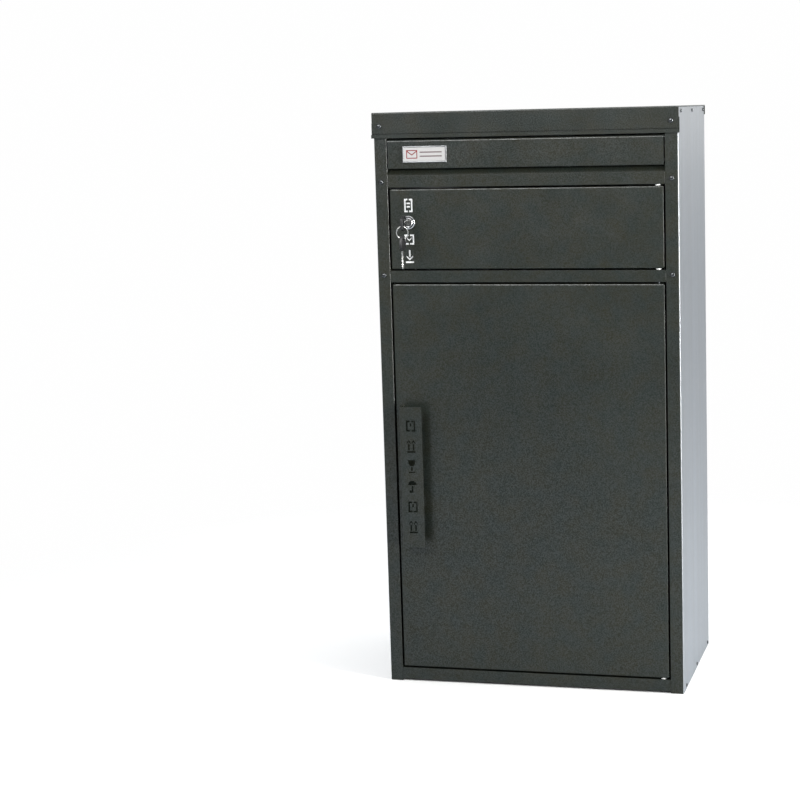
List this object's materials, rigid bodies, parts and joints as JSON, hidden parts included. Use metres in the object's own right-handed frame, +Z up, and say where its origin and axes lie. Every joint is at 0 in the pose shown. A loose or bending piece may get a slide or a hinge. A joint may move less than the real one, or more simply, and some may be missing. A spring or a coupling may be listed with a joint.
{
  "type": "parcel drop box",
  "caption": "Tall sheet-metal drop box with a hinged letter flap, a small key-locked post door and a tall parcel door with a pull handle.",
  "frame": {"origin": "middle of the base panel's underside, on the floor", "axes": "+X to the right seen from the front, +Y to the back panel, +Z up"},
  "size_m": [0.53, 0.373, 1],
  "materials": {
    "anthracite_paint": "semi-gloss powder coat",
    "satin_zinc": "satin galvanised",
    "bright_steel": "bright",
    "chrome": "polished",
    "white_nylon": "matt",
    "black_plastic": "matt",
    "name_card": "matt"
  },
  "bodies": {
    "cabinet": {"left_side_panel": "satin_zinc", "right_side_panel": "satin_zinc", "back_panel": "satin_zinc", "base_panel": "satin_zinc", "inner_top_panel": "satin_zinc", "compartment_shelf": "satin_zinc", "mail_chute": "satin_zinc", "top_cover": "anthracite_paint", "rain_channel": "anthracite_paint", "left_upright": "anthracite_paint", "right_upright": "anthracite_paint", "slot_rail": "anthracite_paint", "divider_rail": "anthracite_paint", "bottom_rail": "anthracite_paint", "bolt_guide": "black_plastic", "magnet_catch": "black_plastic", "top_hinge_pin": "bright_steel", "middle_hinge_pin": "bright_steel", "bottom_hinge_pin": "bright_steel", "post_door_washer_upper": "white_nylon", "post_door_washer_lower": "white_nylon", "parcel_door_washer": "white_nylon", "flap_hinge_rod": "bright_steel", "cover_screw_left": "bright_steel", "cover_screw_right": "bright_steel", "slot_screw_left": "bright_steel", "slot_screw_right": "bright_steel", "divider_screw_left": "bright_steel", "divider_screw_right": "bright_steel", "lower_front_screw_left": "bright_steel", "lower_front_screw_right": "bright_steel", "lower_middle_screw_left": "bright_steel", "lower_middle_screw_right": "bright_steel", "lower_rear_screw_left": "bright_steel", "lower_rear_screw_right": "bright_steel", "upper_front_screw_left": "bright_steel", "upper_front_screw_right": "bright_steel", "upper_middle_screw_left": "bright_steel", "upper_middle_screw_right": "bright_steel", "upper_rear_screw_left": "bright_steel", "upper_rear_screw_right": "bright_steel"},
    "letter_flap": {"letter_flap": "anthracite_paint", "name_plate_frame": "chrome", "name_card": "name_card"},
    "post_door": {"post_door": "anthracite_paint", "sign_backing": "bright_steel", "lock_housing": "chrome", "lock_nut": "bright_steel"},
    "lock_core": {"lock_plug": "chrome", "lock_cam": "bright_steel", "cam_screw": "bright_steel"},
    "key": {"key_blade": "bright_steel", "key_head": "black_plastic"},
    "key_ring": {"key_ring": "bright_steel"},
    "spare_key": {"spare_key_blade": "bright_steel", "spare_key_head": "black_plastic"},
    "parcel_door": {"parcel_door": "anthracite_paint", "parcel_handle": "anthracite_paint", "bolt_keeper": "bright_steel"},
    "drop_bolt": {"drop_bolt": "bright_steel"}
  },
  "joints": [
    {"name": "letter_flap_hinge", "type": "hinge", "parent": "cabinet", "child": "letter_flap", "pos_m": [0, -0.1562, 0.9502], "axis": [-1, 0, 0], "range_deg": [0, 80]},
    {"name": "post_door_hinge", "type": "hinge", "parent": "cabinet", "child": "post_door", "pos_m": [0.227, -0.154, 0.801], "axis": [0, 0, 1], "range_deg": [0, 110]},
    {"name": "parcel_door_hinge", "type": "hinge", "parent": "cabinet", "child": "parcel_door", "pos_m": [0.227, -0.154, 0.3665], "axis": [0, 0, 1], "range_deg": [0, 110]},
    {"name": "lock_turn", "type": "hinge", "parent": "post_door", "child": "lock_core", "pos_m": [-0.2042, -0.16, 0.8125], "axis": [0, 1, 0], "range_deg": [0, 90]},
    {"name": "key_withdraw", "type": "slide", "parent": "lock_core", "child": "key", "axis": [0, -1, 0], "range_m": [0, 0.018]},
    {"name": "key_ring_swing", "type": "hinge", "parent": "key", "child": "key_ring", "pos_m": [-0.2042, -0.2, 0.80805], "axis": [1, 0, 0], "range_deg": [-15, 15]},
    {"name": "spare_key_swing", "type": "hinge", "parent": "key_ring", "child": "spare_key", "pos_m": [-0.2042, -0.2, 0.78765], "axis": [1, 0, 0], "range_deg": [-15, 15]},
    {"name": "drop_bolt_slide", "type": "slide", "parent": "cabinet", "child": "drop_bolt", "axis": [0, 0, 1], "range_m": [-0.018, 0]}
  ]
}
